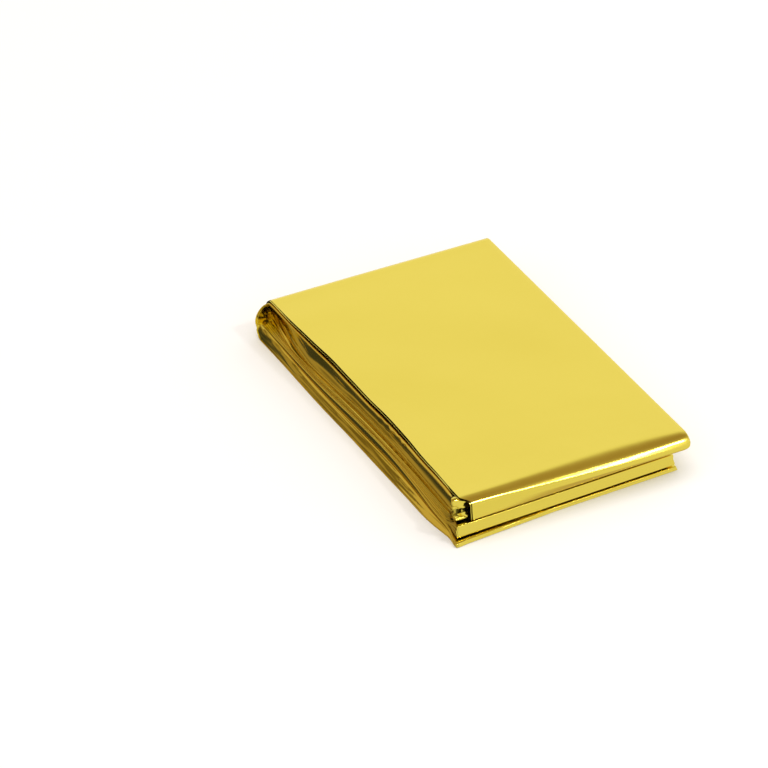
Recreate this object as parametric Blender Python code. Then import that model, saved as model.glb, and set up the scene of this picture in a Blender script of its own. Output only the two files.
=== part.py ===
"""Emergency foil blanket, folded flat for its packet.

One sheet of metallised film is halved again and again across its width and then along its length. Each modelled
layer stands for a bundle of film plies, and the layers run back and forth as one continuous strip. The strip is
first laid out as a section in the Y-Z plane, then swept across X between two uneven long edges.

Sizes are in millimetres until they become mesh coordinates. +Z is up, and Y runs along the packet.
"""

import math

import bmesh
import bpy

MM = 0.001

# Driving sizes of the folded packet, and of one layer of it.
LENGTH = 131.0
WIDTH = 81.0
SHEET = 1.1

# Height of the packet at each corner.
CORNER_HEIGHT = {
    ("front", "left"): 13.8,
    ("front", "right"): 13.1,
    ("back", "left"): 13.8,
    ("back", "right"): 14.3,
}

# The layers from the top down.
#   level: height of the layer's middle, from 0 at the lowest layer to 1 at the top one
#   left_in, right_in: how far each long edge is drawn in from the packet's side
LAYERS = {
    #   level  left_in  right_in
    1: (1.000, 0.0, 0.0),
    2: (0.860, 2.6, 3.4),
    3: (0.715, 4.0, 4.8),
    4: (0.570, 3.4, 5.2),
    5: (0.430, 2.2, 5.0),
    6: (0.290, 0.2, 4.7),
    7: (0.145, 0.6, 4.3),
    8: (0.000, 1.5, 4.2),
}

# The strip starts at the loose front edge of layer 5 and ends at the loose front edge of layer 6.
STRIP_ORDER = (5, 4, 1, 8, 7, 2, 3, 6)
LOOSE_EDGE_IN = 2.4

# The folds, in the strip's order.
#   end: the short end of the packet where the fold lies
#   depth: how far the strip's middle bulges past the line where its layers start to bend
#   start_in: how far in from the middle of the outermost fold that line is
#   squareness: 2 is an ellipse, and more is boxier, which only a wide fold has room for
FOLDS = (
    # end    depth  start_in  squareness
    ("back", 0.9, 5.8, 2.0),
    ("front", 4.0, 4.0, 2.4),
    ("back", 6.0, 6.0, 2.4),
    ("front", 0.9, 2.3, 2.0),
    ("back", 4.3, 6.0, 2.3),
    ("front", 1.1, 3.0, 2.0),
    ("back", 2.6, 6.0, 2.1),
)

# At the front end the lowest layers stick out on the left and are set back on the right.
LOW_FRONT_SET_BACK = {"left": -1.0, "right": 2.6}

# The film lies in low swells, which die out towards the lowest layer.
SWELL = 0.25
SWELLS_ALONG = 1.5
SWELLS_ACROSS = 1.0

RUN_STEPS = 9
FOLD_STEPS = 12
CROSS_STEPS = 10

END_Y = (LENGTH - SHEET) / 2  # where the middle of the outermost fold would lie


def blend(start, end, share):
    return start + (end - start) * share


def fold_points(y_start, reach, squareness, level_from, level_to):
    """The bend from one layer to the next, as points between the two runs."""
    middle = (level_from + level_to) / 2
    half = (level_from - level_to) / 2
    power = 2 / squareness
    points = []
    for step in range(FOLD_STEPS + 1):
        angle = math.pi * step / FOLD_STEPS
        out = math.sin(angle) ** power
        up = math.copysign(abs(math.cos(angle)) ** power, math.cos(angle))
        points.append((y_start + reach * out, middle + half * up))
    return points


def strip_section():
    """The strip's middle line as (y, level) points, from one loose edge to the other."""
    loose_y = LOOSE_EDGE_IN - END_Y
    points = [(loose_y, LAYERS[STRIP_ORDER[0]][0])]
    for (end, depth, start_in, squareness), layer, following in zip(FOLDS, STRIP_ORDER, STRIP_ORDER[1:]):
        direction = 1 if end == "back" else -1
        y_start = direction * (END_Y - start_in)
        level, next_level = LAYERS[layer][0], LAYERS[following][0]
        points += run_points(points[-1], y_start)
        points += fold_points(y_start, direction * depth, squareness, level, next_level)
    points += run_points(points[-1], loose_y)
    points.append((loose_y, points[-1][1]))
    return points


def run_points(start, y_end):
    """The points inside a flat run, without its two ends."""
    y_start, level = start
    return [(blend(y_start, y_end, step / RUN_STEPS), level) for step in range(1, RUN_STEPS)]


def drawn_in(level, column):
    """How far a long edge is drawn in at this level, read between the rows of LAYERS."""
    rows = sorted(LAYERS.values())
    for low, high in zip(rows, rows[1:]):
        if level <= high[0]:
            return blend(low[column], high[column], (level - low[0]) / (high[0] - low[0]))
    return rows[-1][column]


def height_at(across, along):
    """The packet's height, with across from 0 at the left to 1 at the right, and along from front to back."""
    front = blend(CORNER_HEIGHT["front", "left"], CORNER_HEIGHT["front", "right"], across)
    back = blend(CORNER_HEIGHT["back", "left"], CORNER_HEIGHT["back", "right"], across)
    return blend(front, back, along)


def swell_at(across, along):
    """The low swells of the film, from -SWELL to SWELL."""
    return SWELL * math.sin(2 * math.pi * SWELLS_ALONG * along) * math.cos(2 * math.pi * SWELLS_ACROSS * across)


def place(y, level, across):
    """A point of the strip's middle surface in the packet, in metres."""
    along = y / LENGTH + 0.5
    left = -WIDTH / 2 + drawn_in(level, 1)
    right = WIDTH / 2 - drawn_in(level, 2)
    set_back = blend(LOW_FRONT_SET_BACK["left"], LOW_FRONT_SET_BACK["right"], across)
    x = blend(left, right, across)
    y += set_back * (1 - level) * (1 - along)
    z = SHEET / 2 + (height_at(across, along) - SHEET + swell_at(across, along)) * level
    return x * MM, y * MM, z * MM


def folded_blanket():
    mesh = bmesh.new()
    section = strip_section()
    rows = [
        [mesh.verts.new(place(y, level, column / CROSS_STEPS)) for column in range(CROSS_STEPS + 1)]
        for y, level in section
    ]
    for row, next_row in zip(rows, rows[1:]):
        for a, b, c, d in zip(row, row[1:], next_row[1:], next_row):
            mesh.faces.new((a, b, c, d))
    data = bpy.data.meshes.new("foil_blanket")
    mesh.to_mesh(data)
    mesh.free()
    data.shade_smooth()

    blanket = bpy.data.objects.new("foil_blanket", data)
    bpy.context.scene.collection.objects.link(blanket)
    film = blanket.modifiers.new("film bundle", "SOLIDIFY")
    film.thickness = SHEET * MM
    film.offset = 0.0
    film.use_even_offset = True
    return blanket


def gold_film():
    material = bpy.data.materials.new("gold_film")
    material.use_nodes = True
    shader = material.node_tree.nodes["Principled BSDF"]
    shader.inputs["Base Color"].default_value = (0.82, 0.67, 0.11, 1.0)
    shader.inputs["Metallic"].default_value = 1.0
    shader.inputs["Roughness"].default_value = 0.18
    return material


for old in list(bpy.data.objects):
    bpy.data.objects.remove(old)

folded_blanket().data.materials.append(gold_film())
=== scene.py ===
"""A gold emergency foil blanket, folded into its flat packet, on plain white paper in soft studio light."""

import math

import bpy
import numpy as np
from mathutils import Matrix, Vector


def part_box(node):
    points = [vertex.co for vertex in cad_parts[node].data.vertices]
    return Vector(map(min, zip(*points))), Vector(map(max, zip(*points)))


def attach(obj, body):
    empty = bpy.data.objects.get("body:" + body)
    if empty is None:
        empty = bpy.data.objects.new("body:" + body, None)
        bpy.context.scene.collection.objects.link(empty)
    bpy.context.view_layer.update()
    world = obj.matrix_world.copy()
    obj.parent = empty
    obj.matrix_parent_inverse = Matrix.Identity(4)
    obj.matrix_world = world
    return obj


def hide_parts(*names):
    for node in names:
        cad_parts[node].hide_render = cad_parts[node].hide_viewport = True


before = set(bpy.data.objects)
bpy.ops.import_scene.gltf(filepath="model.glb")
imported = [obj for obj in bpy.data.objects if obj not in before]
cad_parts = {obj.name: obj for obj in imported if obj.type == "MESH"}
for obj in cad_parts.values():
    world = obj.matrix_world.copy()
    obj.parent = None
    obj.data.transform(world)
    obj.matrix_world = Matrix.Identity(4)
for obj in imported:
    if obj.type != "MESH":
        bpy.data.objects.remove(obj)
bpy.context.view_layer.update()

# --------------------------------------------------------------------------------------------------------
# The foil sheet: one cut rectangle of 12 micrometre polyester film, 1.3 m by 2.1 m, metallised and lacquered
# gold, with no hem or seam. It is halved four times across its width, then four times along its length, and
# only pressed down by hand. So 16 plies make a layer and 16 layers the packet, with air between them all.
# --------------------------------------------------------------------------------------------------------

MM = 0.001

low_corner, high_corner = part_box("foil_blanket")
WIDTH = (high_corner.x - low_corner.x) / MM
LENGTH = (high_corner.y - low_corner.y) / MM
FRONT = -LENGTH / 2

# There are as many layers in the packet as plies in a layer. The folds at the back lie around its middle.
PLIES = 16
CORE = PLIES / 2


def halved(last_half):
    """The panels of a strip halved four times, from the lowest up. The last half goes over or under."""
    stacks = [[panel] for panel in range(PLIES)]
    while len(stacks) > 2:
        half = len(stacks) // 2
        stacks = [low + high[::-1] for low, high in zip(stacks[:half], reversed(stacks[half:]))]
    first, second = stacks
    return first + second[::-1] if last_half == "over" else first[::-1] + second


def half_turn(angle, squareness):
    """How far up and out a bend is, at an angle from 0 on its upper run to pi on its lower one.

    A squareness of 2 is round, and more is boxier.
    """
    cosine, sine = np.cos(angle), np.sin(angle)
    return np.sign(cosine) * np.abs(cosine) ** (2 / squareness), np.maximum(sine, 0.0) ** (2 / squareness)


CROWDING = 0.6  # how much closer together the stations of a run lie near its bends


def run_shares(steps):
    """Where the stations of a flat run lie, as shares of it: as they are given, or for a number of steps."""
    if not isinstance(steps, int):
        return list(steps)
    shares = [step / steps for step in range(1, steps)]
    return [share - CROWDING * math.sin(2 * math.pi * share) / (2 * math.pi) for share in shares]


# A station is one line across a strip. Its place in the stack is centre + (fixed + growing * depth) * up,
# where depth goes from 0 on a layer's outer face to 1 on its inner face. It lies beyond its line by reach
# times the same radius times out. Its angle in the bend gives up and out.
STATION = ("panel", "share", "line", "reach", "centre", "fixed", "growing", "angle", "squareness")


def folded_strip(order, runs, bends, loose_line, is_layer):
    """The stations along a folded strip, in a dict of arrays. Its two loose edges are at its near end."""
    place = {panel: index + 1 for index, panel in enumerate(order)}
    rows = []

    def lie_of(panel):
        """Where a run lies in the stack, as centre, fixed and growing."""
        if not is_layer:
            return place[panel] - 0.5, 0.0, 0.0
        return (place[panel], 0.0, -1.0) if panel % 2 == 0 else (place[panel] - 1, 0.0, 1.0)

    line = loose_line
    for panel in range(PLIES):
        last = panel == PLIES - 1
        next_line, reach, squareness, steps = (loose_line, 0, 2, 0) if last else bends(panel, place)
        shares = run_shares(runs(panel))
        if panel == 0:
            shares = [0.0] + shares
        if last:
            shares = shares + [1.0]
        for share in shares:
            far_share = share if panel % 2 == 0 else 1 - share
            rows.append((panel, far_share, line + (next_line - line) * share, 0.0, *lie_of(panel), 0.0, 2.0))
        if not last:
            here, there = place[panel], place[panel + 1]
            upper = max(here, there)
            gap = abs(there - here)
            centre = (here + there - 1) / 2
            fixed, growing = gap / 2, 0.0
            if is_layer:
                outer_up = order[upper - 1] % 2 == 0
                fixed, growing = ((gap + 1) / 2, -1.0) if outer_up else ((gap - 1) / 2, 1.0)
            angles = [math.pi * step / steps for step in range(steps + 1)]
            if here < there:
                angles = angles[::-1]
            end_share = 1.0 if panel % 2 == 0 else 0.0
            bend = (panel, end_share, next_line, reach, centre, fixed, growing)
            rows += [(*bend, angle, squareness) for angle in angles]
        line = next_line
    return {name: np.array(column) for name, column in zip(STATION, zip(*rows))}


# Across the packet: all the bends at the right lie around each other, and the loose edges are at the left.
# The room is in mm from one ply's bend to the next. The third ply shows at a corner, with closer stations.
PLY_ROOM = {"left": 0.05, "right": 0.055}
NEAR_CORNER = (0.012, 0.024, 0.036, 0.048, 0.06, 0.08, 0.3, 0.5, 0.8)


def ply_runs(panel):
    """The steps of a run across the packet, or the shares of its stations."""
    return {0: 18, 15: (0.25, 0.5, 0.75, 0.98), 8: NEAR_CORNER}.get(panel, 2)


def ply_bends(panel, place):
    """The line, reach, squareness and steps of the bend after a run."""
    if panel % 2 == 0:
        room = PLY_ROOM["right"]
        return WIDTH / 2 - PLIES / 2 * room, room, 2.0, 8 if panel == 0 else 5
    room = PLY_ROOM["left"]
    return PLIES / 2 * room - WIDTH / 2, -room, 2.0, {1: 16, 3: 8, 7: 6}.get(panel, 5)


# Along the packet: all the bends at the back lie around each other. At the front the upper half has a nest
# of bends of its own, and so have the four lowest layers and the two above them.
BACK_DEPTH = 4.0
BACK_LINE = LENGTH / 2 - BACK_DEPTH
# Each nest of front bends goes by its middle in the stack of layers.
UPPER_NEST, MIDDLE_NEST, LOWEST_NEST = 12.0, 5.0, 2.0
FRONT_BENDS = {
    # depth, radius in layers, how far in its face lies, squareness
    UPPER_NEST: (3.2, 4.0, 0.0, 2.4),
    MIDDLE_NEST: (1.0, 1.0, 0.1, 9.0),
    LOWEST_NEST: (1.0, 2.0, 0.0, 3.0),
}
LOOSE_FRONT_LINE = FRONT + 1.8


def layer_runs(panel):
    """The steps of a run along the packet."""
    return {2: 92, 3: 64, 13: 40, 12: 30}.get(panel, 23)


def layer_bends(panel, place):
    """The line, reach, squareness and steps of the bend after a run."""
    if panel % 2 == 0:
        return BACK_LINE, BACK_DEPTH / CORE, 2.0, {2: 16, 12: 8}.get(panel, 6)
    centre = (place[panel] + place[panel + 1] - 1) / 2
    depth, radius, inwards, squareness = FRONT_BENDS[centre]
    steps = {1: 24, 3: 14, 7: 14}.get(panel, 6)
    return depth + inwards + FRONT, -depth / radius, squareness, steps


across_strip = folded_strip(halved("over"), ply_runs, ply_bends, -WIDTH / 2, is_layer=False)
along_strip = folded_strip(halved("under"), layer_runs, layer_bends, LOOSE_FRONT_LINE, is_layer=True)


def down_rows(name):
    """A column of the stations along the packet, as one value for each row of crossings."""
    return along_strip[name][:, None]


def blend(start, end, share):
    """From start at a share of 0 to end at a share of 1."""
    return start + (end - start) * share


# The ideal packet: x and y in mm, and level in layers, for each crossing of the two sets of stations.
# Both edges of the upper front fold are tight at the left and round at the right.
ply_up, ply_out = half_turn(across_strip["angle"], across_strip["squareness"])
x = (across_strip["line"] + across_strip["reach"] * across_strip["fixed"] * ply_out)[None, :]
x = np.repeat(x, len(along_strip["line"]), axis=0)
across = np.clip(x / WIDTH + 0.5, 0, 1)

UPPER_EDGE = {"left": 3.4, "right": 1.8}
LOWER_EDGE = {"left": 7.0, "right": 2.2}
angle = down_rows("angle")
nest_edge = np.where(
    angle < math.pi / 2,
    blend(UPPER_EDGE["left"], UPPER_EDGE["right"], across),
    blend(LOWER_EDGE["left"], LOWER_EDGE["right"], across * across),
)
squareness = np.where(down_rows("centre") == UPPER_NEST, nest_edge, down_rows("squareness"))
layer_up, layer_out = half_turn(angle, squareness)
depth = ((across_strip["centre"] + across_strip["fixed"] * ply_up) / PLIES)[None, :]
turn = down_rows("fixed") + down_rows("growing") * depth
level = down_rows("centre") + turn * layer_up
y = down_rows("line") + down_rows("reach") * turn * layer_out
along = np.clip(y / LENGTH + 0.5, 0, 1)


def eased(value, start, end):
    """0 before start, 1 after end, and a soft step between them."""
    share = np.clip((value - start) / (end - start), 0, 1)
    return share * share * (3 - 2 * share)


def curve_through(knots, heights, value):
    """A smooth curve through knots and their heights, read at many values."""
    knots, heights = np.array(knots, float), np.array(heights, float)
    slopes = np.gradient(heights, knots)
    value = np.clip(value, knots[0], knots[-1])
    index = np.clip(np.searchsorted(knots, value) - 1, 0, len(knots) - 2)
    step = knots[index + 1] - knots[index]
    share = (value - knots[index]) / step
    rise = heights[index + 1] - heights[index]
    bow = share * (1 - share)
    return (
        blend(heights[index], heights[index + 1], share)
        + bow * (1 - share) * (slopes[index] * step - rise)
        - bow * share * (slopes[index + 1] * step - rise)
    )


def between(value, seams):
    """Straight pieces from seam to seam. A seam is a place, beyond the last one, and what holds there."""
    (first, result), *others = seams
    before, held = first, result
    for place, at_seam in others:
        result = result + (at_seam - held) * np.clip((value - before) / (place - before), 0, 1)
        before, held = place, at_seam
    return result


CORNER_HEIGHT = {
    ("front", "left"): 13.8,
    ("front", "right"): 13.1,
    ("back", "left"): 13.8,
    ("back", "right"): 14.3,
}
height = blend(
    blend(CORNER_HEIGHT["front", "left"], CORNER_HEIGHT["front", "right"], across),
    blend(CORNER_HEIGHT["back", "left"], CORNER_HEIGHT["back", "right"], across),
    along,
)

# Away from the left side the layers lie evenly. Only at the front end is the upper bend fuller than the
# others, with a thin gap under it, and another one above the lowest four layers. So each level has its share
# of the height there.
LOWEST_PANELS = (3, 4, 11, 12)
LOWEST_SHARES = ((0, 0.0), (4, 0.112))
OTHER_SHARES = ((4, 0.152), (6, 0.458), (8, 0.475), (16, 1.0))
is_lowest = np.isin(down_rows("panel"), LOWEST_PANELS)
front_share = np.where(is_lowest, between(level, LOWEST_SHARES), between(level, OTHER_SHARES))
at_front = 1 - eased(y, FRONT + 4, FRONT + 30)
flat_z = height * blend(level / PLIES, front_share, at_front)

# The left side is uneven. These are its features from the front to the back, in mm: the foot and the lip of
# the lowest layer, the dark hollow above the lip, the pressed stack in two bundles, the shelf under the
# loose edge of the outermost ply, and the groove between the shelf and that edge.
LEFT_Y = (-62, -50, -36, -20, 0, 20, 36, 48, 61)
FOOT_IN = (-0.4, -1.6, -1.4, -1.2, -0.8, -0.65, -0.2, 0.2, 0.4)
LIP_Z = (1.0, 1.4, 2.3, 3.0, 2.9, 2.6, 2.8, 3.5, 4.6)
LIP_IN = (0.6, 0.6, 1.0, 1.3, 1.4, 1.5, 1.7, 1.8, 1.7)
DARK_HIGH = (0.8, 1.2, 2.1, 2.7, 2.6, 2.0, 1.5, 1.2, 0.6)
CORE_Z = (3.4, 4.2, 5.6, 6.2, 5.9, 5.3, 5.2, 5.6, 6.1)
BUNDLE_IN = (2.0, 2.1, 2.2, 2.3, 2.4, 2.5, 2.6, 3.0, 5.2)
UPPER_IN = (2.6, 2.9, 3.3, 3.6, 3.6, 3.6, 3.6, 4.5, 6.0)
GROOVE_OUT = (0.5, 0.5, 0.5, 0.55, 0.55, 0.55, 0.5, 0.4, 0.35)
GROOVE_DEEP = (1.0, 1.1, 1.3, 1.7, 1.75, 1.65, 1.45, 1.1, 0.8)
SHELF_WIDE = (1.0, 1.0, 0.95, 0.85, 0.8, 0.75, 0.7, 0.75, 0.9)
EDGE_IN = (3.0, 3.5, 4.2, 5.0, 5.2, 5.3, 5.0, 4.6, 4.4)
# The crests of the two bundles are given at places of their own, and neither sinks into what is below it.
BUNDLE_Y = (-62, -36, -10, 14, 30, 42, 48, 52.6, 56, 59, 61)
BUNDLE_Z = (5.0, 6.7, 7.0, 6.4, 5.8, 5.6, 5.9, 6.6, 7.2, 8.3, 9.8)
UPPER_Y = (-62, -50, -36, -20, 0, 7, 14, 23, 31, 36.6, 41, 45, 48.4, 54, 61)
UPPER_Z = (6.6, 7.0, 7.5, 8.1, 8.4, 8.2, 7.4, 6.8, 6.6, 6.3, 6.9, 7.8, 9.4, 10.6, 11.3)

BUNDLE_ABOVE_CORE, UPPER_ABOVE_BUNDLE = 0.3, 0.4
left_y = np.minimum(y, BACK_LINE)


def left_curve(heights):
    """A feature of the left side, which is read from the front to the back."""
    return curve_through(LEFT_Y, heights, left_y)


foot_in, lip_z, lip_in, dark_high = map(left_curve, (FOOT_IN, LIP_Z, LIP_IN, DARK_HIGH))
core_z, bundle_in, upper_in = left_curve(CORE_Z), left_curve(BUNDLE_IN), left_curve(UPPER_IN)
bundle_z = np.maximum(curve_through(BUNDLE_Y, BUNDLE_Z, left_y), core_z + BUNDLE_ABOVE_CORE)
upper_z = np.maximum(curve_through(UPPER_Y, UPPER_Z, left_y), bundle_z + UPPER_ABOVE_BUNDLE)
groove_out, groove_deep, shelf_wide = left_curve(GROOVE_OUT), left_curve(GROOVE_DEEP), left_curve(SHELF_WIDE)
edge_wave = 0.10 * np.sin(along * 21) + 0.05 * np.sin(along * 47 + 1)
edge_in = curve_through(LEFT_Y, EDGE_IN, y) + edge_wave

# The shelf falls towards its nose, by a share of its width, and it is crinkled in one stretch.
SHELF_FALL = 0.3
CRINKLE_OUT, CRINKLE_UP = 0.28, 0.22
crinkled = eased(left_y, -38, -30) * (1 - eased(left_y, -14, -6))
crinkle = crinkled * (0.6 * np.sin(left_y * 1.55) + 0.4 * np.sin(left_y * 2.35 + 1))
shelf_in = edge_in - groove_out - shelf_wide + CRINKLE_OUT * crinkle
shelf_z = height - groove_deep - SHELF_FALL * shelf_wide + CRINKLE_UP * crinkle

# Each crossing as seen from the core: how far up in the stack, and how far out round the back folds. Its
# radius goes from 0 at the core to 1 on the packet's outside.
TINY = 1e-9
up = (level - CORE) / CORE
out = np.maximum(y - BACK_LINE, 0) / BACK_DEPTH
radius = np.sqrt(up * up + out * out)
some_radius = np.maximum(radius, TINY)
up_share = up / some_radius
out_share = out / some_radius

# Round the back end the shelf swings out to the packet's side, as a thin rim.
RIM_IN = 0.3
RIM_WIDE = 0.8
RIM_BOW = 1.5
rim_share = np.clip(up_share, 0, 1) ** RIM_BOW
shelf_in = blend(RIM_IN, shelf_in, rim_share)
groove_in = blend(RIM_IN + RIM_WIDE, edge_in - groove_out, rim_share)

# In the stack one bend in four stands out as a rib and takes up most of the room, and the others are
# pressed flat between the ribs. Below the core the stack ends at the hollow above the lip.
RIB_ROOM = 0.8
RIB = 0.5 / CORE
OUTER_LAYER = 1 - 1 / CORE
HOLLOW = OUTER_LAYER - RIB


def ribbed(value, starts):
    """Stretches radii over the ribs, which start at the given radii, and squeezes them in between."""
    seams = [(0.0, 0.0)]
    for start, end in zip(starts, starts[1:] + (OUTER_LAYER,)):
        held = seams[-1][1]
        seams += [(start + RIB, held + (end - start) * RIB_ROOM), (end, end)]
    return between(value, seams)


UPPER_RIBS = (0.125, 0.375, 0.625)
LOWER_RIBS = (0.0625, 0.3125, 0.5625)
upper_radius = np.where(radius < OUTER_LAYER, ribbed(radius, UPPER_RIBS), radius)
lower_radius = ribbed(radius * OUTER_LAYER / HOLLOW, LOWER_RIBS)
lower_radius = np.where(radius < HOLLOW, lower_radius * HOLLOW / OUTER_LAYER, radius)

# The left side is read off the radii from the core out, first how high it is there and then how far in.
# The upper half has two bundles, a steep wall, the shelf's nose, the groove and the gap under the outermost
# ply. The lower half has the lip, whose edge is bevelled, and the foot.
PLY = {ply: 1 - (ply - 0.5) / PLIES / CORE for ply in range(1, PLIES + 1)}
BUNDLE_CREST, UPPER_START = 0.5, 0.56
WALL_FOOT, WALL_HEAD = 0.893, 0.918
SHELF_NOSE = (PLY[5] + PLY[8]) / 2
HOLLOW_HEAD, LIP_BEVEL = HOLLOW + 0.006, 0.9
WALL_BELOW_SHELF = 1.0
wall_z = shelf_z - WALL_BELOW_SHELF
rise_upper = between(upper_radius, (
    (0.0, core_z), (BUNDLE_CREST, bundle_z), (UPPER_START, blend(bundle_z, upper_z, 0.1)),
    (PLY[16], upper_z), (WALL_FOOT, blend(upper_z, wall_z, 0.36)), (WALL_HEAD, wall_z),
    (PLY[9], shelf_z - 0.5), (PLY[8], shelf_z - 0.35), (SHELF_NOSE, shelf_z), (PLY[5], height - groove_deep),
    (PLY[4], height - 0.5 * groove_deep), (PLY[3], height - 0.4 * groove_deep),
    (PLY[2], height - 0.28 * groove_deep), (1.0, height),
)) - core_z
rise_lower = core_z - between(lower_radius, (
    (0.0, core_z), (HOLLOW, lip_z + dark_high), (OUTER_LAYER, lip_z + 0.12), (PLY[16], lip_z),
    (LIP_BEVEL, lip_z - 0.4), (PLY[9], 0.3), (PLY[5], 0.1), (1.0, 0.0),
))
in_upper = between(upper_radius, (
    (0.0, bundle_in - 0.4), (BUNDLE_CREST, bundle_in), (UPPER_START, blend(bundle_in, upper_in, 0.6)),
    (PLY[16], upper_in), (WALL_FOOT, np.maximum(upper_in + 0.7, shelf_in + 0.58)),
    (WALL_HEAD, np.maximum(upper_in + 0.8, shelf_in + 0.62)), (PLY[9], shelf_in + 0.6),
    (PLY[8], shelf_in + 0.2), (SHELF_NOSE, shelf_in), (PLY[5], groove_in),
    (PLY[4], groove_in + 3.5), (PLY[3], groove_in + 3.5), (PLY[2], groove_in), (1.0, groove_in),
))
in_lower = between(lower_radius, (
    (0.0, bundle_in - 0.2), (HOLLOW, lip_in + 0.05), (HOLLOW_HEAD, lip_in + 0.14),
    (OUTER_LAYER, lip_in + 0.2), (PLY[16], lip_in + 0.1), (LIP_BEVEL, lip_in - 0.35),
    (PLY[9], foot_in + 0.35), (PLY[5], foot_in + 0.15), (1.0, foot_in),
))
is_inner_layer = radius < OUTER_LAYER
upper_half = np.where(is_inner_layer, eased(up_share, -0.8, -0.4), eased(up_share, -0.5, -0.2))
left_z = core_z + np.where(up_share > 0, rise_upper, rise_lower) * up_share
spread_up = eased(up_share, -1.0, -0.3)
LEAST_SPREAD = 0.9
upper_spread = np.maximum(rise_upper / (height - core_z), radius * LEAST_SPREAD)
left_spread = blend(rise_lower / core_z, upper_spread, spread_up)
near_left = (1 - eased(across, 0.0, 0.4)) * eased(y, FRONT + 2.5, FRONT + 9)

# The pressed stack and the wall above it are streaked along their layers, and the lowest layer is puckered,
# all by less than 0.2 mm.
streak = 0.08 * np.sin(1.9 * up * CORE + 0.9 * np.sin(y / 16) + 0.4)
streak = streak + 0.05 * np.sin(3.3 * up * CORE - y / 11)
streak = streak * (1 - eased(np.abs(up), 0.78, 0.86)) * (1 - eased(y, BACK_LINE - 4, BACK_LINE))
wall_streak = 0.05 * np.sin(8.0 * left_z + 1.2 * np.sin(y / 13)) + 0.03 * np.sin(14.0 * left_z - y * 0.1)
streak = streak + wall_streak * eased(up, 0.88, 0.89) * (1 - eased(up, 0.915, 0.93))
pucker = 0.09 * np.sin(7.4 * left_z + 0.5 * np.sin(y / 9) + 1) + 0.05 * np.sin(13.0 * left_z + y * 0.08)
pucker = pucker + 0.05 * np.sin(3.0 * left_z - y * 0.3)
pucker = pucker * eased(-up, 0.885, 0.895) * (1 - eased(-up, 0.935, 0.95))

z = blend(flat_z, left_z, near_left)
spread = blend(radius, left_spread, near_left)
y = np.where(out > 0, BACK_LINE + BACK_DEPTH * spread * out_share, y)

# How far the right side is drawn in, and the left one at the front end, in mm against the share of height.
RIGHT_UP = (0.0, 0.25, 0.45, 0.62, 0.72, 0.8, 0.9, 1.0)
RIGHT_IN = (2.6, 3.7, 4.0, 3.6, 2.4, 0.9, 0.1, 0.0)
LEFT_FRONT_UP = (0.0, 0.1, 0.3, 0.5, 0.8, 1.0)
LEFT_FRONT_IN = (0.0, 0.0, 0.4, 0.8, 0.6, 0.5)
share_up = np.clip(z / height, 0, 1)
left_in = blend(in_lower, in_upper, upper_half) + streak + pucker
left_front_in = curve_through(LEFT_FRONT_UP, LEFT_FRONT_IN, share_up)
left_in = blend(left_front_in, left_in, eased(y, FRONT + 1.5, FRONT + 6))
right_in = curve_through(RIGHT_UP, RIGHT_IN, share_up)
x = -WIDTH / 2 + left_in + across * (WIDTH - left_in - right_in)

# The outermost ply doesn't reach the left side. Over the upper front fold its loose edge slants further in,
# and the next ply's edge shows a little outside it.
EDGE_OVER_FOLD = {"upper": 5.8, "lower": 0.8}
SECOND_PLY_OUT = 0.4
FIRST_PANEL, SECOND_PANEL = 0, PLIES - 1  # the two outermost plies of every layer
is_first = (across_strip["panel"] == FIRST_PANEL)[None, :]
is_second = (across_strip["panel"] == SECOND_PANEL)[None, :]
from_edge = (1 - across_strip["share"])[None, :]
over_fold = eased(-y, LENGTH / 2 - 3.5, LENGTH / 2 - 0.6)
fold_edge_in = np.where(level > CORE, EDGE_OVER_FOLD["upper"], EDGE_OVER_FOLD["lower"]) + edge_wave
edge_in = blend(edge_in, fold_edge_in, over_fold)
x = x + from_edge * (is_first * (edge_in - left_in) + is_second * (edge_in - SECOND_PLY_OUT - left_in))

# At the front the lower half is set back at the right and sticks out at the left, where its foot has a tip.
LOW_SET_BACK = {"left": -0.6, "right": 4.0}
FOOT_TIP_LEFT, FOOT_TIP_FORWARD = 0.9, 1.6
set_back = blend(LOW_SET_BACK["left"], LOW_SET_BACK["right"], across)
y = y + set_back * (1 - eased(z, 5.5, 11.0)) * (1 - along)
foot_tip = (1 - eased(across, 0.0, 0.12)) * (1 - eased(z, 0.8, 2.4))
foot_tip = foot_tip * (1 - eased(y, FRONT + 0.5, FRONT + 5))
x = x - FOOT_TIP_LEFT * foot_tip
y = y - FOOT_TIP_FORWARD * foot_tip

# Inside the upper front fold the other plies stand back at the left corner, and curl.
CORNER_SET_BACK = 2.2
OUTER_PANELS = (1, 2)
is_outer = (is_first | is_second) & np.isin(down_rows("panel"), OUTER_PANELS)
near_end = 1 - eased(y, FRONT + 1, FRONT + 7)
behind = (~is_outer) * (level > CORE) * (1 - eased(across, 0.0, 0.3)) * near_end
curl = 0.6 * np.sin(2.2 * z + 1.4 * x) + 0.4 * np.sin(3.9 * z - 2.1 * x + 1)
curl = curl * (1 - eased(across, 0.06, 0.09)) * eased(z, 4.5, 6.5) * (1 - eased(z, 11.0, 12.5))
y = y + behind * (CORNER_SET_BACK + curl)

# The face of the middle nest at the front is creased, and that of the lowest one has a lip at its foot.
CREASE_DEEP, CREASE_HALF_WIDE = 0.35, 0.3
LOW_FACE = ((0.0, -0.3), (0.25, -0.3), (0.5, 0.2), (1.3, -0.1), (1.6, 0.0))
in_middle_nest = down_rows("centre") == MIDDLE_NEST
crease = in_middle_nest * np.clip(1 - np.abs(layer_up) / CREASE_HALF_WIDE, 0, 1)
y = y + CREASE_DEEP * crease
at_low_face = (down_rows("centre") == LOWEST_NEST) * np.clip(layer_out * 1.5 - 0.5, 0, 1)
y = y + at_low_face * between(z, LOW_FACE)

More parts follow.
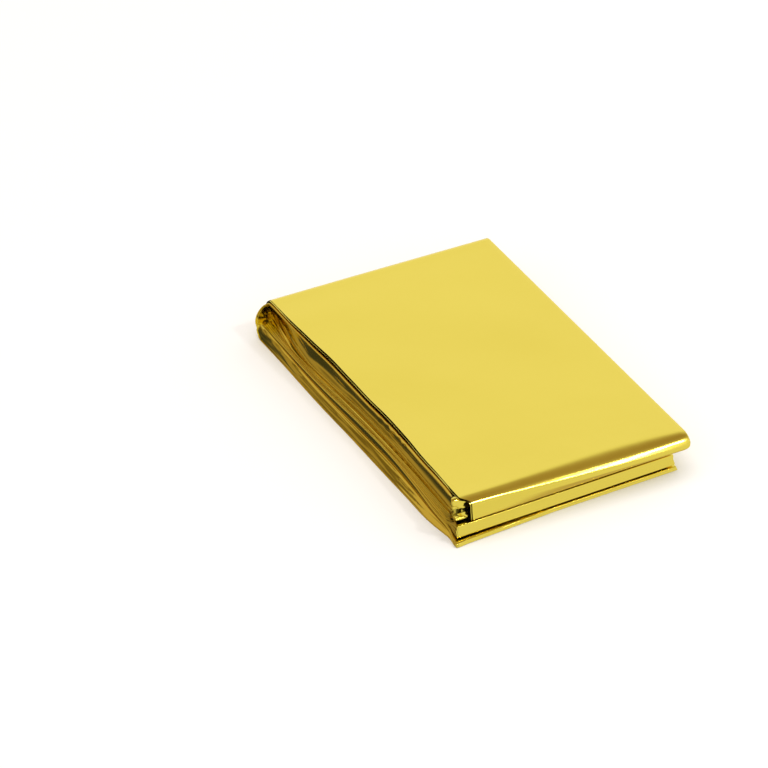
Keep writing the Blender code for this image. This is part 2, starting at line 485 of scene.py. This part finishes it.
# The top rolls off towards the front fold, ever steeper up to ROLL_END mm from the front, and starts to do
# so furthest back right of the middle. The plies under the outermost one lie a little lower and further in.
ROLL_ACROSS = (0.0, 0.08, 0.3, 0.66, 0.76, 0.87, 1.0)
ROLL_Y = (-61.8, -61.6, -60.6, -58.8, -58.8, -59.3, -60.3)
ROLL_SLOPE = (0.3, 0.3, 0.4, 0.44, 0.44, 0.42, 0.38)
ROLL_END = 3.0
OTHERS_IN = 0.3
roll_y = curve_through(ROLL_ACROSS, ROLL_Y, across)
roll_long = roll_y - FRONT - ROLL_END
roll = np.clip((roll_y - y) / roll_long, 0, 1)
past_roll = np.clip(roll_y - roll_long - y, 0, 2.0)
top_half = np.clip((level - CORE) / CORE, 0, 1)
roll_slope = curve_through(ROLL_ACROSS, ROLL_SLOPE, across)
z = z - roll_slope * (roll_long / 2 * roll * roll + past_roll) * top_half
z = z - (~is_first) * OTHERS_IN * eased(-y, 53, 58) * top_half
y = y + (~is_first) * (down_rows("centre") == UPPER_NEST) * OTHERS_IN * layer_out

# On top the outermost ply lies in soft swells, up to 0.26 mm high.
is_top_ply = is_first & (level > PLIES - 0.05)
swell = 0.08 + 0.08 * np.sin(along * 9.1 + across * 3.0) * np.cos(across * 7.3 + 0.6)
swell = swell + 0.05 + 0.05 * np.sin(along * 19 + across * 9 + 2)
swell = is_top_ply * swell * eased(along, 0.05, 0.25) * (1 - eased(along, 0.85, 0.95))
z = z + swell * (1 - eased(across, 0.8, 1))

# The crossings make one unbroken mesh, and its map lays the sheet out flat.
points = np.stack([x, y, z], axis=-1).reshape(-1, 3) * MM
rows_along, rows_across = y.shape
corner = (np.arange(rows_along - 1)[:, None] * rows_across + np.arange(rows_across - 1)[None, :]).reshape(-1)
quads = np.stack([corner, corner + rows_across, corner + rows_across + 1, corner + 1], axis=-1)

film_mesh = bpy.data.meshes.new("foil_sheet")
film_mesh.from_pydata(points.tolist(), [], quads.tolist())
film_mesh.shade_smooth()
flat_map = film_mesh.uv_layers.new(name="OFBake")
loop_vertex = np.zeros(len(film_mesh.loops), dtype=np.int32)
film_mesh.loops.foreach_get("vertex_index", loop_vertex)
place_across = (loop_vertex % rows_across) / (rows_across - 1)
place_along = (loop_vertex // rows_across) / (rows_along - 1)
flat_place = np.stack([place_across, place_along], axis=-1)
flat_map.data.foreach_set("uv", flat_place.astype(np.float32).reshape(-1))
foil_sheet = bpy.data.objects.new("foil_sheet", film_mesh)
bpy.context.scene.collection.objects.link(foil_sheet)

film = bpy.data.materials.new("gold film")
film.use_nodes = True
shader = film.node_tree.nodes["Principled BSDF"]
shader.inputs["Metallic"].default_value = 1.0
film_nodes, film_links = film.node_tree.nodes, film.node_tree.links
film_place = film_nodes.new("ShaderNodeTexCoord").outputs["Object"]


def film_noise(scale, detail):
    """Soft noise over the folded film, with scale features to a metre."""
    noise = film_nodes.new("ShaderNodeTexNoise")
    noise.inputs["Scale"].default_value = scale
    noise.inputs["Detail"].default_value = detail
    film_links.new(film_place, noise.inputs["Vector"])
    return noise.outputs["Fac"]


# The lacquer is faintly cloudy, in colour and in gloss, and the film is very slightly crinkled.
MIX_FACTOR, MIX_FIRST, MIX_SECOND, MIX_RESULT = 0, 6, 7, 2
CLOUDS = {"scale": 24.0, "detail": 2.0}
SMEARS = {"scale": 45.0, "detail": 3.0}
CRINKLES = {"scale": 90.0, "detail": 2.0}
GLOSSIEST, DULLEST = 0.10, 0.18
lacquer = film_nodes.new("ShaderNodeMix")
lacquer.data_type = "RGBA"
lacquer.inputs[MIX_FIRST].default_value = (0.80, 0.63, 0.084, 1.0)
lacquer.inputs[MIX_SECOND].default_value = (0.84, 0.674, 0.096, 1.0)
film_links.new(film_noise(**CLOUDS), lacquer.inputs[MIX_FACTOR])
film_links.new(lacquer.outputs[MIX_RESULT], shader.inputs["Base Color"])
gloss = film_nodes.new("ShaderNodeMapRange")
gloss.inputs["To Min"].default_value = GLOSSIEST
gloss.inputs["To Max"].default_value = DULLEST
film_links.new(film_noise(**SMEARS), gloss.inputs["Value"])
film_links.new(gloss.outputs["Result"], shader.inputs["Roughness"])
crinkles = film_nodes.new("ShaderNodeBump")
crinkles.inputs["Strength"].default_value = 0.25
crinkles.inputs["Distance"].default_value = 0.0003
film_links.new(film_noise(**CRINKLES), crinkles.inputs["Height"])
film_links.new(crinkles.outputs["Normal"], shader.inputs["Normal"])
film_mesh.materials.append(film)

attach(foil_sheet, "root")
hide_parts("foil_blanket")

# --------------------------------------------------------------------------------------------------------
# The table and the studio: a sheet of white paper, in a pale room with a darker ceiling and floor and some
# shaded parts. One soft lamp hangs high at the front right, and a wide one overhead lights the paper.
# The foil mirrors the room and the soft lamp, but neither the paper nor the wide one.
# --------------------------------------------------------------------------------------------------------

TABLE_HALF = 4.0
table_mesh = bpy.data.meshes.new("table")
CORNER_SIDES = ((-1, -1), (1, -1), (1, 1), (-1, 1))
table_corners = [(TABLE_HALF * side_x, TABLE_HALF * side_y, 0.0) for side_x, side_y in CORNER_SIDES]
table_mesh.from_pydata(table_corners, [], [(0, 1, 2, 3)])
table = bpy.data.objects.new("table", table_mesh)
bpy.context.scene.collection.objects.link(table)
table_paint = bpy.data.materials.new("white paper")
table_paint.use_nodes = True
paper = table_paint.node_tree.nodes["Principled BSDF"]
paper.inputs["Base Color"].default_value = (0.93, 0.93, 0.93, 1.0)
paper.inputs["Roughness"].default_value = 0.9
paper.inputs["Specular IOR Level"].default_value = 0.0
table_mesh.materials.append(table_paint)
table.visible_glossy = False

world = bpy.data.worlds.new("studio")
bpy.context.scene.world = world
world.use_nodes = True
nodes, links = world.node_tree.nodes, world.node_tree.links
background = nodes["Background"]
direction = nodes.new("ShaderNodeTexCoord").outputs["Generated"]


def toward(azimuth, elevation):
    """The unit vector at an azimuth clockwise from +Y and an elevation, in degrees."""
    a, e = math.radians(azimuth), math.radians(elevation)
    return math.sin(a) * math.cos(e), math.cos(a) * math.cos(e), math.sin(e)


def patch(azimuth, elevation, full_within, none_beyond):
    """1 within an angle of a direction, 0 beyond another, in degrees."""
    dot = nodes.new("ShaderNodeVectorMath")
    dot.operation = "DOT_PRODUCT"
    dot.inputs[1].default_value = toward(azimuth, elevation)
    links.new(direction, dot.inputs[0])
    fade = nodes.new("ShaderNodeMapRange")
    fade.interpolation_type = "SMOOTHSTEP"
    fade.inputs["From Min"].default_value = math.cos(math.radians(none_beyond))
    fade.inputs["From Max"].default_value = math.cos(math.radians(full_within))
    links.new(dot.outputs["Value"], fade.inputs["Value"])
    return fade.outputs["Result"]


def toward_colour(under, mask, colour):
    """The colour under a mask, or a new colour where the mask is 1."""
    mix = nodes.new("ShaderNodeMix")
    mix.data_type = "RGBA"
    links.new(mask, mix.inputs[MIX_FACTOR])
    if isinstance(under, tuple):
        mix.inputs[MIX_FIRST].default_value = (*under, 1)
    else:
        links.new(under, mix.inputs[MIX_FIRST])
    mix.inputs[MIX_SECOND].default_value = (*colour, 1)
    return mix.outputs[MIX_RESULT]


# Azimuth, elevation and inner and outer angle of each part of the room, in degrees, and its colour.
PALE = (0.90, 0.90, 0.90)
ROOM = {
    "bright wall": (27, 11, 2, 40, (1.04, 1.04, 1.04)),
    "ceiling": (0, 90, 24, 50, (0.40, 0.30, 0.20)),
    "floor": (0, -90, 20, 50, (0.58, 0.48, 0.34)),
    "brown wall": (-40, -8, 25, 60, (0.40, 0.30, 0.18)),
    "tan ceiling edge": (-17, 42, 9, 26, (0.64, 0.50, 0.38)),
    "dark doorway": (-38, 14, 3, 12, (0.17, 0.12, 0.06)),
    "deep shade": (-40, -44, 17, 36, (0.05, 0.05, 0.04)),
}
sky = PALE
for *lie, colour in ROOM.values():
    sky = toward_colour(sky, patch(*lie), colour)
links.new(sky, background.inputs["Color"])

lamp = bpy.data.lights.new("soft lamp", "AREA")
lamp.energy = 2.0
lamp.size = 0.11
lamp_holder = bpy.data.objects.new("soft lamp", lamp)
bpy.context.scene.collection.objects.link(lamp_holder)
LAMP_TOWARD = np.array((0.387, -0.523, 0.760))
LAMP_AWAY = 1.2
lamp_holder.location = LAMP_TOWARD * LAMP_AWAY


def aim(thing, target):
    """Turns a lamp or a camera so that it looks at a point."""
    thing.rotation_euler = (Vector(target) - thing.location).to_track_quat("-Z", "Y").to_euler()


aim(lamp_holder, (0, 0, 0))

FILL_HIGH = 2.2
fill = bpy.data.lights.new("wide fill", "AREA")
fill.energy = 26.0
fill.size = 2.0
fill_holder = bpy.data.objects.new("wide fill", fill)
bpy.context.scene.collection.objects.link(fill_holder)
fill_holder.location = (0, 0, FILL_HIGH)
fill_holder.visible_glossy = False

camera_data = bpy.data.cameras.new("camera")
camera_data.lens = 383.3
camera_data.sensor_width = 36
camera_data.clip_start = 0.05
camera = bpy.data.objects.new("camera", camera_data)
bpy.context.scene.collection.objects.link(camera)
LOOK_AT = np.array((-17.6, 22.4, 0)) * MM
CAMERA_AWAY = 2.5
CAMERA_AZIMUTH, CAMERA_ELEVATION = 180 + 27.97, 32.52
camera.location = LOOK_AT + CAMERA_AWAY * np.array(toward(CAMERA_AZIMUTH, CAMERA_ELEVATION))
aim(camera, LOOK_AT)
bpy.context.scene.camera = camera
bpy.context.scene.view_settings.view_transform = "Standard"
